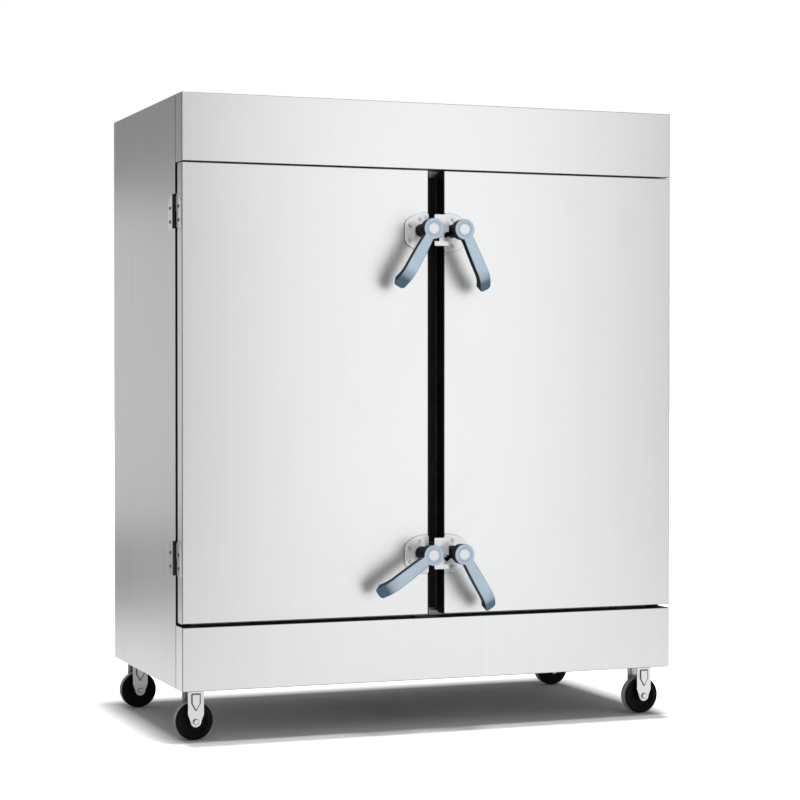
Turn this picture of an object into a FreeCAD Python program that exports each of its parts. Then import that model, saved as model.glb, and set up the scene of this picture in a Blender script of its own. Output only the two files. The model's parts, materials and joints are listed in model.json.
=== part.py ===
import FreeCAD, Part
import math
import os

# A two-door rice steamer on four rigid casters, in millimetres.
# While it is drawn, x is 0 midway between the doors, y is 0 on the door faces and grows
# to the back, and z is 0 on the floor. On export everything moves by SHIFT, which puts
# the origin at the middle of the footprint.

# Overall sizes
cabinet_width = 1380.0
cabinet_depth = 740.0
body_height = 1518.0
caster_height = 135.0
rear_reach = 60.0

# Front: fascias, doors and the gaps between them
top_fascia_height = 174.0
bottom_fascia_height = 163.0
gap_over_doors = 3.0
gap_under_doors = 9.0
fascia_seam = 4.0
door_thickness = 43.0
seal_gap = 23.0
centre_gap = 42.0
edge_strip = 1.5
sheet = 1.5
fold_radius = 2.0

# Walls, frame and chambers
side_wall = 38.0
back_wall = 45.0
post_width = 84.0
rail_height = 50.0
rail_depth = 30.0
rail_wall = 2.0
door_lap = 18.0
liner_sheet = 1.2
roof_insulation = 60.0
frame_tube = 40.0
frame_tube_wall = 2.5
hem = 20.0

# Door seal and post strip
gasket_width = 14.0
gasket_inset = 2.0
seal_clearance = 0.3
strip_width = 42.0
strip_thickness = 6.0
strip_top_gap = 13.0
strip_bottom_gap = 11.0

# Racks and trays
levels = 12
first_level = 62.0
top_level_drop = 103.0
rack_front_gap = 44.0
upright_width = 30.0
rack_sheet = 2.0
runner_ledge = 20.0
runner_lip = 12.0
tray_side_clearance = 1.0
tray_depth = 400.0
tray_height = 48.0
tray_rim = 18.0
tray_sheet = 1.0
tray_corner = 20.0

# Water side
tank_sheet = 1.5
plate_seat = 12.0
plate_hole_radius = 10.0
plate_hole_pitch = 76.0
element_radius = 6.0
element_span = 60.0
element_reach = 470.0
element_height = 42.0
element_flange_radius = 34.0
elements_per_tank = 3
feed_box_width = 76.0
feed_box_length = 150.0
feed_box_floor = 5.0
feed_box_height = 120.0
float_radius = 22.0
float_reach = 68.0
float_pin_radius = 3.0
valve_block = 24.0
inlet_radius = 10.5
inlet_height = 90.0
balance_radius = 12.0
balance_height = 26.0
pipe_wall = 1.5
drain_radius = 13.2
drain_height = 22.0
drain_offset = 245.0
drain_body_radius = 19.0
drain_lever_length = 92.0
drain_lever_width = 16.0
drain_lever_sheet = 3.0
drain_stem_radius = 5.0
vent_radius = 19.0
vent_drop = 32.0

# Terminal box and cable gland
box_width = 220.0
box_height = 160.0
box_offset = 380.0
box_level = 300.0
gland_radius = 16.0
gland_bore = 8.0
gland_length = 26.0

# Latches
latch_axis = 43.0
upper_latch_drop = 336.0
lower_latch = 335.0
latch_plate_width = 69.0
latch_plate_height = 104.0
latch_plate_drop = 4.0
latch_plate_corner = 8.0
latch_plate_sheet = 3.0
collar_radius = 18.0
collar_height = 2.0
spindle_radius = 6.0
hub_radius = 17.5
hub_flare_radius = 26.5
hub_back = 5.4
hub_neck = 36.0
hub_rim = 10.0
head_radius = 27.0
head_front = 95.0
head_round = 1.5
cap_radius = 14.0
cap_groove_radius = 19.5
cap_groove = 2.0
cap_depth = 0.8
lever_neck = 23.0
lever_width = 32.0
lever_thickness = 20.0
lever_straight = 117.0
lever_bend_radius = 55.0
lever_bend_degrees = 48.0
lever_end = 24.0
lever_round = 2.5
lever_rest = {"upper_left": 30.0, "upper_right": 25.0, "lower_left": 55.0, "lower_right": 31.0}

# Keepers and the tongues that reach behind them
keeper_width = 40.0
keeper_height = 82.0
keeper_sheet = 3.0
keeper_front = 40.0
keeper_stem_width = 10.0
keeper_stem_height = 48.0
notch_top = 4.5
notch_bottom = 29.0
notch_web = 13.0
tongue_reach = 34.0
tongue_half_degrees = 9.0
tongue_thickness = 10.0
tongue_clearance = 0.5

# Door hinges
hinge_height = 88.0
upper_hinge_drop = 342.0
lower_hinge = 292.0
hinge_out = 5.0
hinge_behind_door = 12.0
knuckle_radius = 5.5
pin_radius = 3.0
leaf_sheet = 3.0
door_leaf_width = 34.0
frame_leaf_width = 56.0
leaf_corner = 6.0
leaf_arch = 26.0

# Casters
caster_side_inset = 50.0
caster_front_inset = 83.0
caster_back_inset = 68.0
wheel_radius = 50.0
wheel_width = 30.0
core_radius = 36.0
axle_radius = 6.0
leg_gap = 12.0
leg_sheet = 3.0
leg_width = 42.0
leg_straight = 66.0
leg_tip_radius = 14.0
plate_length = 66.0
plate_width = 70.0
plate_corner = 8.0
teardrop_width = 22.0
teardrop_height = 43.0
teardrop_drop = 14.0
teardrop_corner = 5.0
teardrop_raise = 2.5
hub_play = 0.5

# Fits and fasteners
running = 0.05
pipe_clearance = 0.5
joint_gap = 0.4
screw_radius = 4.5
screw_height = 2.2
slot_width = 1.2
bolt_radius = 7.0
bolt_height = 5.5

# Places that follow from the sizes above
half_width = cabinet_width / 2
body_bottom = caster_height
body_top = caster_height + body_height
frame_face = door_thickness + seal_gap
door_bottom = body_bottom + bottom_fascia_height + gap_under_doors
door_top = body_top - top_fascia_height - gap_over_doors
door_inner = centre_gap / 2
mouth_bottom = door_bottom + door_lap
mouth_top = door_top - door_lap
post_half = post_width / 2
chamber_outer = half_width - side_wall
chamber_width = chamber_outer - post_half
chamber_middle = (chamber_outer + post_half) / 2
chamber_back = cabinet_depth - back_wall
rail_back = frame_face + rail_depth
frame_top = body_bottom + frame_tube
tank_top = mouth_bottom - 2 * sheet
rear_end = cabinet_depth + rear_reach
head_back = head_front - lever_thickness
SHIFT = FreeCAD.Vector(0, (head_front - rear_end) / 2, 0)

X = FreeCAD.Vector(1, 0, 0)
Y = FreeCAD.Vector(0, 1, 0)
Z = FreeCAD.Vector(0, 0, 1)


def at(x, y, z):
    return FreeCAD.Vector(x, y, z)


def block(x0, x1, y0, y1, z0, z1):
    return Part.makeBox(x1 - x0, y1 - y0, z1 - z0, at(x0, y0, z0))


def rod(radius, start, direction, length):
    return Part.makeCylinder(radius, length, start, direction)


def pipe(radius, wall, start, direction, length):
    return rod(radius, start, direction, length).cut(rod(radius - wall, start, direction, length))


def fuse(shapes):
    whole = shapes[0].fuse(list(shapes[1:]))
    return whole.removeSplitter()


def group(shapes):
    return Part.makeCompound([solid for shape in shapes for solid in shape.Solids])


def mirrored(shape):
    return shape.mirror(at(0, 0, 0), X)


def side(shape, sign):
    """The left one as drawn for sign -1, its mirror image for sign +1."""
    return shape if sign < 0 else mirrored(shape)


def turned(shape, centre, direction, degrees):
    result = shape.copy()
    result.rotate(centre, direction, degrees)
    return result


def polygon(points):
    return Part.Face(Part.makePolygon(list(points) + [points[0]]))


def front_folds(shape, front):
    """The edges of a folded front that lie on its face at y = front."""
    return [edge for edge in shape.Edges
            if abs(edge.BoundBox.YMin - front) < 0.01 and abs(edge.BoundBox.YMax - front) < 0.01]


def front_pan(x0, x1, depth, z0, z1):
    """A folded sheet front: a flat face with four returns to the back."""
    outer = block(x0, x1, 0, depth, z0, z1)
    outer = outer.makeFillet(fold_radius, front_folds(outer, 0))
    return outer.cut(block(x0 + sheet, x1 - sheet, sheet, depth, z0 + sheet, z1 - sheet))


def tube(x0, x1, y0, y1, z0, z1, wall, along):
    """A square tube along X, Y or Z."""
    inset = [0 if axis == along else wall for axis in (X, Y, Z)]
    inner = block(x0 + inset[0], x1 - inset[0], y0 + inset[1], y1 - inset[1],
                  z0 + inset[2], z1 - inset[2])
    return block(x0, x1, y0, y1, z0, z1).cut(inner)


def screw(place, direction, radius=screw_radius, height=screw_height):
    """A pan head that stands on a face, with one slot."""
    head = rod(radius, place, direction, height)
    rim = [edge for edge in head.Edges
           if edge.Closed and (edge.CenterOfMass - place).dot(direction) > height / 2]
    head = head.makeFillet(height / 2, rim)
    across = Z if abs(direction.z) < 0.5 else X
    slot_centre = place + direction * (height * 0.6)
    other = direction.cross(across)
    slot = block(-slot_width / 2, slot_width / 2, 0, height, -2 * radius, 2 * radius)
    slot = slot.transformGeometry(frame_matrix(other, direction, across, slot_centre))
    return head.cut(slot)


def frame_matrix(first, second, third, place):
    """The placement whose x, y and z run along three given directions."""
    return FreeCAD.Matrix(first.x, second.x, third.x, place.x,
                          first.y, second.y, third.y, place.y,
                          first.z, second.z, third.z, place.z,
                          0, 0, 0, 1)


# Outer casing

def side_panel(sign):
    """The left or right wall, with a front flange that the door seal closes on."""
    skin = block(-half_width, -half_width + sheet, frame_face, cabinet_depth, body_bottom, body_top)
    flange = block(-half_width, -chamber_outer, frame_face, frame_face + sheet,
                   body_bottom, body_top - sheet)
    wall = fuse([skin, flange])
    return side(wall, sign)


def back_panel():
    inner = half_width - sheet
    skin = block(-inner, inner, cabinet_depth - sheet, cabinet_depth, body_bottom, body_top - sheet)
    for sign in (-1, 1):
        edge = sign * inner
        turn = sign * (inner - sheet)
        skin = skin.fuse(block(min(edge, turn), max(edge, turn), cabinet_depth - hem,
                               cabinet_depth - sheet, body_bottom, body_top - sheet))
    for centre, radius in back_holes():
        skin = skin.cut(rod(radius + pipe_clearance, centre - Y * back_wall, Y, 2 * back_wall))
    return skin.removeSplitter()


def roof_panel():
    inner = half_width - sheet
    top = block(-inner, inner, frame_face, cabinet_depth, body_top - sheet, body_top)
    lip = block(-inner, inner, frame_face, frame_face + sheet, body_top - hem, body_top - sheet)
    lip = lip.cut(block(-half_width, -chamber_outer, 0, cabinet_depth, 0, body_top))
    lip = lip.cut(block(chamber_outer, half_width, 0, cabinet_depth, 0, body_top))
    return fuse([top, lip])


def fascia(z0, z1):
    """A fascia whose top and bottom returns reach the frame, and whose ends leave a seam."""
    pan = front_pan(-half_width, half_width, frame_face, z0, z1)
    seam = frame_face - fascia_seam
    for sign in (-1, 1):
        outer = sign * half_width
        inner = sign * (half_width - sheet)
        pan = pan.cut(block(min(outer, inner), max(outer, inner), seam, frame_face, z0, z1))
    return pan


def top_fascia():
    return fascia(body_top - top_fascia_height, body_top)


def bottom_fascia():
    return fascia(body_bottom, body_bottom + bottom_fascia_height)


# Frame

def caster_places():
    x = half_width - caster_side_inset
    front = caster_front_inset
    back = cabinet_depth - caster_back_inset
    return [(name, sign * x, y) for name, sign, y in (
        ("front_left", -1, front), ("front_right", 1, front),
        ("back_left", -1, back), ("back_right", 1, back))]


def base_frame():
    """Butt-welded square tubes: one across the front, one across the back and four between."""
    inner = half_width - sheet
    half = frame_tube / 2
    z0 = body_bottom
    z1 = frame_top
    front = frame_face + sheet + half
    rear = cabinet_depth - hem - half
    tubes = []
    for y in (front, rear):
        tubes.append(tube(-inner, inner, y - half, y + half, z0, z1, frame_tube_wall, X))
    for x in (-inner + half, -post_half - half, post_half + half, inner - half):
        tubes.append(tube(x - half, x + half, front + half, rear - half, z0, z1, frame_tube_wall, Y))
    return group(tubes)


def frame_rails():
    """The head rail and the sill rail of the door frame."""
    head = tube(-chamber_outer, chamber_outer, frame_face, rail_back, mouth_top,
                mouth_top + rail_height, rail_wall, X)
    sill = tube(-chamber_outer, chamber_outer, frame_face, rail_back, mouth_bottom - rail_height,
                mouth_bottom, rail_wall, X)
    return group([head, sill])


def centre_post():
    post = tube(-post_half, post_half, frame_face, rail_back, mouth_bottom, mouth_top, rail_wall, Z)
    return post


def latch_heights():
    return {"upper": body_top - upper_latch_drop, "lower": body_bottom + lower_latch}


def post_strip():
    """Black rubber on the post, with a slot for each keeper's stem."""
    strip = block(-strip_width / 2, strip_width / 2, frame_face - strip_thickness, frame_face,
                  door_bottom + strip_bottom_gap, door_top - strip_top_gap)
    groove = strip_thickness / 3
    for x in (-strip_width / 4, strip_width / 4):
        strip = strip.cut(rod(groove, at(x, frame_face - strip_thickness, door_bottom), Z,
                              door_top - door_bottom))
    for z in latch_heights().values():
        half = keeper_stem_width / 2 + joint_gap
        tall = keeper_stem_height / 2 + joint_gap
        strip = strip.cut(block(-half, half, 0, frame_face, z - tall, z + tall))
    return strip


# Chambers

def chamber_liners():
    """Each chamber's two side sheets, back sheet and ceiling."""
    sheets = []
    back_cut = [rod(radius + pipe_clearance, centre - Y * back_wall, Y, 2 * back_wall)
                for centre, radius in back_holes()]
    for sign in (-1, 1):
        outer = block(-chamber_outer - liner_sheet, -chamber_outer, frame_face + sheet,
                      chamber_back, tank_top, mouth_top)
        inner = block(-post_half, -post_half + liner_sheet, rail_back, chamber_back,
                      tank_top, mouth_top)
        back = block(-chamber_outer, -post_half, chamber_back, chamber_back + liner_sheet,
                     tank_top, mouth_top)
        ceiling = block(-chamber_outer, -post_half, rail_back, chamber_back, mouth_top,
                        mouth_top + liner_sheet)
        for sheet_piece in (outer, inner, side_cut(back, back_cut, sign), ceiling):
            sheets.append(side(sheet_piece, sign))
    return group(sheets)


def side_cut(shape, cutters, sign):
    """Cuts a left-hand sheet where its own side's holes are."""
    for cutter in cutters:
        shape = shape.cut(side(cutter, sign))
    return shape


def wall_insulation():
    """Mineral wool in the walls, in the partition and over the ceilings."""
    z0 = mouth_bottom
    z1 = mouth_top + liner_sheet + roof_insulation
    back_front = chamber_back + liner_sheet
    blocks = []
    for sign in (-1, 1):
        wool = block(-half_width + sheet, -chamber_outer - liner_sheet, frame_face + sheet,
                     back_front, z0, z1)
        blocks.append(side(wool, sign))
    partition = post_half - liner_sheet
    blocks.append(block(-partition, partition, rail_back, chamber_back, z0, mouth_top))
    inner = half_width - 2 * sheet
    back = block(-inner, inner, back_front, cabinet_depth - sheet, z0, z1)
    for centre, radius in back_holes():
        back = back.cut(rod(radius + pipe_clearance, centre - Y * back_wall, Y, 2 * back_wall))
    blocks.append(back)
    over = chamber_outer + liner_sheet
    lid = block(-over, over, rail_back, back_front, mouth_top + liner_sheet, z1)
    blocks.append(lid)
    return group(blocks)


def level_height(number):
    lowest = mouth_bottom + first_level
    highest = mouth_top - top_level_drop
    return lowest + (highest - lowest) * number / (levels - 1)


def rack_front():
    return rail_back + rack_front_gap


def tray_width():
    return chamber_width - 2 * (2 * rack_sheet + tray_side_clearance)


def rack():
    """The rack at the outer wall of the left chamber: two uprights and the runners welded to them."""
    x = -chamber_outer
    front = rack_front()
    back = front + tray_depth + upright_width
    low = tank_top + 2 * sheet
    high = level_height(levels - 1) + runner_lip + upright_width
    parts = []
    for y in (front, back - upright_width):
        parts.append(block(x, x + rack_sheet, y, y + upright_width, low, high))
    web = x + rack_sheet
    for number in range(levels):
        z = level_height(number)
        ledge = block(web, web + runner_ledge, front, back, z - rack_sheet, z)
        upright = block(web, web + rack_sheet, front, back, z - rack_sheet, z + runner_lip)
        parts.append(fuse([ledge, upright]))
    return group(parts)


def tray_racks():
    outer = rack()
    inner = outer.mirror(at(-chamber_middle, 0, 0), X)
    return group([side(shape, sign) for sign in (-1, 1) for shape in (outer, inner)])


def tray():
    """A welded pan that hangs by its rim, its rim's underside at z = 0."""
    rim_x = tray_width() / 2
    rim_y = tray_depth / 2
    wall_x = rim_x - runner_ledge - tray_sheet
    wall_y = rim_y - tray_rim
    inside_x = wall_x - tray_sheet
    inside_y = wall_y - tray_sheet
    underside = tray_sheet - tray_height
    foot = underside + tray_sheet
    floor = block(-wall_x, wall_x, -wall_y, wall_y, underside, foot)
    side_rim = block(inside_x, rim_x, -rim_y, rim_y, 0, tray_sheet)
    corners = [edge for edge in side_rim.Edges
               if abs(edge.tangentAt(0).z) > 0.9 and edge.CenterOfMass.x > wall_x]
    sheets = [side_rim.makeFillet(tray_corner, corners),
              block(inside_x, wall_x, -wall_y, wall_y, foot, 0),
              block(-inside_x, inside_x, inside_y, wall_y, foot, 0),
              block(-inside_x, inside_x, inside_y, rim_y, 0, tray_sheet)]
    facing = [piece.copy().rotate(at(0, 0, 0), Z, 180) for piece in sheets]
    return group([floor] + sheets + facing)


def trays():
    """A tray on every second pair of runners in both chambers."""
    pan = tray()
    pans = []
    middle = rack_front() + (tray_depth + upright_width) / 2
    for sign in (-1, 1):
        for number in range(1, levels, 2):
            copy = pan.copy()
            copy.translate(at(sign * chamber_middle, middle, level_height(number)))
            pans.append(copy)
    return group(pans)


# Water and steam

def tank_bottom():
    return frame_top


def water_tanks():
    """A welded tank under each chamber: floor, four walls, and a lip that carries the steam plate."""
    x0 = -chamber_outer
    x1 = -post_half
    y0 = rail_back
    y1 = chamber_back + liner_sheet
    z0 = tank_bottom()
    z1 = tank_top - tank_sheet
    floor = block(x0, x1, y0, y1, z0, z0 + tank_sheet)
    outer_wall = block(x0, x0 + tank_sheet, y0, y1, z0 + tank_sheet, z1)
    inner_wall = block(x1 - tank_sheet, x1, y0, y1, z0 + tank_sheet, z1)
    front_wall = block(x0 + tank_sheet, x1 - tank_sheet, y0, y0 + tank_sheet, z0 + tank_sheet, z1)
    back_wall_sheet = block(x0 + tank_sheet, x1 - tank_sheet, y1 - tank_sheet, y1, z0 + tank_sheet, z1)
    lips = [block(x0, x1, y0, y0 + plate_seat, z1, tank_top),
            block(x0, x1, y1 - plate_seat, y1, z1, tank_top),
            block(x0, x0 + plate_seat, y0 + plate_seat, y1 - plate_seat, z1, tank_top),
            block(x1 - plate_seat, x1, y0 + plate_seat, y1 - plate_seat, z1, tank_top)]
    balance = balance_place()
    inner_wall = inner_wall.cut(rod(balance_radius + pipe_clearance, balance - X * (post_half + hem),
                                    X, 2 * hem))
    sheets = []
    for sign, holes in ((-1, left_tank_holes()), (1, element_holes(1))):
        back = side(back_wall_sheet, sign)
        for centre, radius in holes:
            back = back.cut(rod(radius + pipe_clearance, centre - Y * hem, Y, 2 * hem))
        sheets.append(back)
        for piece in [floor, outer_wall, inner_wall, front_wall] + lips:
            sheets.append(side(piece, sign))
    return group(sheets)


def steam_plates():
    """The perforated floor of each chamber, laid on its tank's lip."""
    plates = []
    y0 = rail_back + sheet
    y1 = chamber_back - sheet
    x0 = -chamber_outer + sheet
    x1 = -post_half - sheet
    plate = block(x0, x1, y0, y1, tank_top, tank_top + sheet)
    columns = int((x1 - x0 - 2 * plate_seat) / plate_hole_pitch)
    rows = int((y1 - y0 - 2 * plate_seat) / plate_hole_pitch)
    middle_x = (x0 + x1) / 2
    middle_y = (y0 + y1) / 2
    holes = []
    for column in range(columns):
        for row in range(rows):
            x = middle_x + (column - (columns - 1) / 2) * plate_hole_pitch
            y = middle_y + (row - (rows - 1) / 2) * plate_hole_pitch
            holes.append(rod(plate_hole_radius, at(x, y, tank_top), Z, sheet))
    plate = plate.cut(Part.makeCompound(holes))
    for sign in (-1, 1):
        plates.append(side(plate, sign))
    return group(plates)


def element_places(sign):
    """Where each element's flange meets the back of the tank."""
    spacing = chamber_width / elements_per_tank
    y = chamber_back + liner_sheet
    z = tank_bottom() + element_height
    return [at(sign * chamber_middle + (number - (elements_per_tank - 1) / 2) * spacing, y, z)
            for number in range(elements_per_tank)]


def element_holes(sign):
    return [(place + X * (leg * element_span / 2), element_radius)
            for place in element_places(sign) for leg in (-1, 1)]


def heating_element(place):
    """A hairpin tube on a round flange, with two terminals behind."""
    half = element_span / 2
    straight = element_reach - half
    legs = [rod(element_radius, place + X * (leg * half), Y * -1, straight) for leg in (-1, 1)]
    bend = Part.makeTorus(half, element_radius, at(0, 0, 0), Z)
    bend = bend.common(block(-element_span, element_span, -element_span, 0, -half, half))
    bend.translate(place - Y * straight)
    flange = rod(element_flange_radius + element_radius, place, Y, 2 * sheet)
    terminals = [rod(element_radius / 2, place + X * (leg * half) + Y * 2 * sheet, Y, hem - sheet)
                 for leg in (-1, 1)]
    return fuse(legs + [bend, flange] + terminals)


def heating_elements():
    return group([heating_element(place) for sign in (-1, 1) for place in element_places(sign)])


def balance_place():
    return at(0, chamber_back - feed_box_length / 2, tank_bottom() + balance_height)


def feed_box():
    """The float box between the tanks: an open trough that both balance pipes reach."""
    half = feed_box_width / 2
    y0 = chamber_back - feed_box_length
    y1 = chamber_back
    z0 = tank_bottom() + feed_box_floor
    z1 = z0 + feed_box_height
    feet = block(-half, half, y0, y1, tank_bottom(), z0)
    walls = block(-half, half, y0, y1, z0, z1).cut(
        block(-half + sheet, half - sheet, y0 + sheet, y1 - sheet, z0 + sheet, z1))
    walls = fuse([walls, feet.cut(block(-half + hem, half - hem, 0, cabinet_depth, 0, z0))])
    walls = walls.cut(rod(inlet_radius + pipe_clearance, inlet_place() - Y * hem, Y, 2 * hem))
    balance = balance_place()
    return walls.cut(rod(balance_radius + pipe_clearance, balance - X * post_half, X, post_width))


def inlet_place():
    return at(0, chamber_back, tank_bottom() + inlet_height)


def float_pivot():
    return inlet_place() - Y * (valve_block + hem)


def float_valve():
    """The valve block inside the box, its tail through the back and the fork for the arm."""
    inlet = inlet_place()
    half = valve_block / 2
    y1 = chamber_back - sheet
    y0 = y1 - valve_block
    core = block(-half, half, y0, y1, inlet.z - half, inlet.z + half)
    tail = rod(inlet_radius, at(0, y1, inlet.z), Y, rear_end - y1)
    tail = tail.cut(rod(inlet_radius - 3 * pipe_wall, at(0, rear_end - rear_reach, inlet.z), Y,
                        rear_reach))
    nut = rod(inlet_radius + 2 * sheet, at(0, cabinet_depth, inlet.z), Y, 2 * element_radius)
    pivot = float_pivot()
    ears = []
    for sign in (-1, 1):
        inner = sign * (element_radius - sheet)
        outer = sign * (element_radius + sheet)
        ears.append(block(min(inner, outer), max(inner, outer), pivot.y - element_radius, y0,
                          inlet.z - element_radius, inlet.z + element_radius))
    pin = rod(float_pin_radius, pivot - X * element_radius, X, 2 * element_radius)
    return fuse([core, tail, nut] + ears + [pin])


def float_arm():
    """The arm and ball that ride up with the water."""
    pivot = float_pivot()
    eye_half = element_radius - sheet - joint_gap
    eye = rod(float_pin_radius + 2 * sheet, pivot - X * eye_half, X, 2 * eye_half)
    arm = rod(float_pin_radius, pivot - Y * (eye_half + sheet), Y * -1,
              float_reach - eye_half - sheet)
    ball = Part.makeSphere(float_radius, pivot - Y * float_reach)
    whole = fuse([eye, arm, ball])
    return whole.cut(rod(float_pin_radius + running, pivot - X * valve_block, X, 2 * valve_block))


def balance_pipes():
    """Short pipes that level the water in the box and in both tanks."""
    place = balance_place()
    inner = feed_box_width / 2 - 2 * sheet
    length = post_half - inner + 3 * sheet
    return group([pipe(balance_radius, pipe_wall, place + X * (sign * inner), X * sign, length)
                  for sign in (-1, 1)])


def drain_place():
    return at(-drain_offset, chamber_back + liner_sheet, tank_bottom() + drain_height)


def drain_valve():
    """A ball valve behind the back panel, on a pipe from the left tank."""
    start = drain_place() - Y * hem / 2
    length = rear_end - start.y
    through = rod(drain_radius, start, Y, length)
    middle = at(start.x, cabinet_depth + rear_reach / 2, start.z)
    body = rod(drain_body_radius, middle - Y * drain_body_radius * 0.8, Y, drain_body_radius * 1.6)
    boss = rod(drain_stem_radius + 2 * sheet, middle, Z, drain_body_radius + 2 * sheet)
    nut = rod(drain_radius + 2 * sheet, at(start.x, cabinet_depth, start.z), Y, 2 * sheet)
    whole = fuse([through, body, boss, nut])
    bore = rod(drain_radius - 2 * pipe_wall, start, Y, length)
    stem_bore = rod(drain_stem_radius + running, middle, Z, 2 * drain_body_radius)
    return whole.cut(bore).cut(stem_bore)


def drain_lever():
    """The valve's lever, its stem and the ball that it turns. It lies across the pipe when shut."""
    start = drain_place()
    middle = at(start.x, cabinet_depth + rear_reach / 2, start.z)
    ball_radius = drain_radius - 2 * pipe_wall - running
    ball = Part.makeSphere(ball_radius, middle, at(1, 1, 0))
    ball = ball.cut(rod(ball_radius / 2, middle - X * drain_radius, X, 2 * drain_radius))
    top = drain_body_radius + 2 * sheet + joint_gap
    stem = rod(drain_stem_radius, middle + Z * (ball_radius * 0.7), Z, top - ball_radius * 0.7)
    half = drain_lever_width / 2
    strap = block(-half, drain_lever_length - half, -half, half, 0, drain_lever_sheet)
    strap = strap.fuse(rod(half, at(drain_lever_length - half, 0, 0), Z, drain_lever_sheet))
    strap = strap.fuse(rod(half, at(-half, 0, 0), Z, drain_lever_sheet))
    strap.translate(middle + Z * top)
    nut = rod(drain_stem_radius + sheet, middle + Z * (top + drain_lever_sheet), Z, 2 * sheet)
    return fuse([ball, stem, strap, nut])


def vent_places():
    z = mouth_top - vent_drop
    return [at(sign * chamber_middle, chamber_back, z) for sign in (-1, 1)]


def steam_vents():
    """A vent pipe from each chamber through the back, with a flange on the back panel."""
    pipes = []
    for place in vent_places():
        start = place - Y * sheet
        length = rear_end - start.y
        stub = pipe(vent_radius, pipe_wall, start, Y, length)
        flange = pipe(vent_radius + hem, hem + pipe_wall, at(place.x, cabinet_depth, place.z), Y,
                      2 * sheet)
        pipes.append(fuse([stub, flange]))
    return group(pipes)


def back_holes():
    """Centres and radii of what passes through the back panel."""
    inlet = inlet_place()
    drain = drain_place()
    holes = [(at(inlet.x, cabinet_depth, inlet.z), inlet_radius),
             (at(drain.x, cabinet_depth, drain.z), drain_radius),
             (at(box_offset, cabinet_depth, body_bottom + box_level), gland_bore)]
    for place in vent_places():
        holes.append((at(place.x, cabinet_depth, place.z), vent_radius))
    return holes


def left_tank_holes():
    """Holes in the back of the left tank: its elements and the drain."""
    drain = drain_place()
    return element_holes(-1) + [(drain, drain_radius)]


# Electrical box

def box_bounds():
    z = body_bottom + box_level
    return (box_offset - box_width / 2, box_offset + box_width / 2, cabinet_depth,
            rear_end - sheet, z - box_height / 2, z + box_height / 2)


def terminal_box():
    x0, x1, y0, y1, z0, z1 = box_bounds()
    shell = block(x0, x1, y0, y1, z0, z1).cut(
        block(x0 + sheet, x1 - sheet, y0 + sheet, y1, z0 + sheet, z1 - sheet))
    shell = shell.cut(rod(gland_bore + pipe_clearance, at(box_offset, y0 - sheet, (z0 + z1) / 2), Y,
                          4 * sheet))
    gland = gland_place()
    return shell.cut(rod(gland_bore + 2 * sheet, gland - Z * sheet, Z, 4 * sheet))


def terminal_cover():
    x0, x1, y0, y1, z0, z1 = box_bounds()
    return block(x0, x1, y1, y1 + sheet, z0, z1)


def terminal_block():
    """The moulded strip that the mains wires and the element wires meet on."""
    x0, x1, y0, y1, z0, z1 = box_bounds()
    base = block(x0 + hem, x1 - hem, y0 + sheet, y0 + sheet + hem, z0 + 3 * hem, z0 + 5 * hem)
    ways = 6
    pitch = (x1 - x0 - 2 * hem) / ways
    for number in range(1, ways):
        x = x0 + hem + number * pitch
        base = base.cut(block(x - sheet, x + sheet, y0 + hem / 2, y0 + 2 * hem, z0, z1))
    return base


def gland_place():
    x0, x1, y0, y1, z0, z1 = box_bounds()
    return at(box_offset, (y0 + y1) / 2, z0)


def cable_gland():
    place = gland_place()
    neck = gland_bore + 2 * sheet - pipe_clearance
    outer = rod(gland_radius, place, Z * -1, gland_length)
    outer = outer.makeFillet(2 * sheet, [edge for edge in outer.Edges
                                        if edge.Closed and edge.BoundBox.ZMax < place.z - sheet])
    nut = rod(gland_radius, place + Z * sheet, Z, 2 * sheet)
    whole = fuse([outer, rod(neck, place, Z, sheet), nut])
    return whole.cut(rod(gland_bore, place - Z * gland_length * 2, Z, gland_length * 4))


# Doors

def door_bounds():
    return -half_width, -door_inner - edge_strip, door_bottom, door_top


def door_skin():
    x0, x1, z0, z1 = door_bounds()
    return front_pan(x0, x1, door_thickness, z0, z1)


def door_liner():
    """The door's inner sheet, with a shallow pressed panel inside the seal."""
    x0, x1, z0, z1 = door_bounds()
    liner = block(x0 + sheet, x1 - sheet, door_thickness - sheet, door_thickness,
                  z0 + sheet, z1 - sheet)
    margin = side_wall + 2 * hem
    raised = block(x0 + margin, x1 - margin, door_thickness, door_thickness + 2 * sheet,
                   z0 + margin, z1 - margin)
    hollow = block(x0 + margin + sheet, x1 - margin - sheet, door_thickness - sheet,
                   door_thickness + sheet, z0 + margin + sheet, z1 - margin - sheet)
    return fuse([liner, raised]).cut(hollow)


def door_insulation():
    x0, x1, z0, z1 = door_bounds()
    return block(x0 + sheet, x1 - sheet, sheet, door_thickness - sheet, z0 + sheet, z1 - sheet)


def bulb_face(width, height):
    """The seal's section: a flat foot with a round bulb that meets the frame."""
    half = width / 2
    flat = height - half
    left = at(-half, 0, 0)
    right = at(half, 0, 0)
    edges = [Part.LineSegment(left, right).toShape(),
             Part.LineSegment(right, at(half, flat, 0)).toShape(),
             Part.Arc(at(half, flat, 0), at(0, height, 0), at(-half, flat, 0)).toShape(),
             Part.LineSegment(at(-half, flat, 0), left).toShape()]
    return Part.Face(Part.Wire(edges))


def seal_bounds():
    """Centre lines of the seal's four strips."""
    half = gasket_width / 2
    x0 = -chamber_outer - gasket_inset - half
    x1 = -post_half + half
    z0 = mouth_bottom - gasket_inset - half
    z1 = mouth_top + gasket_inset + half
    return x0, x1, z0, z1


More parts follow.
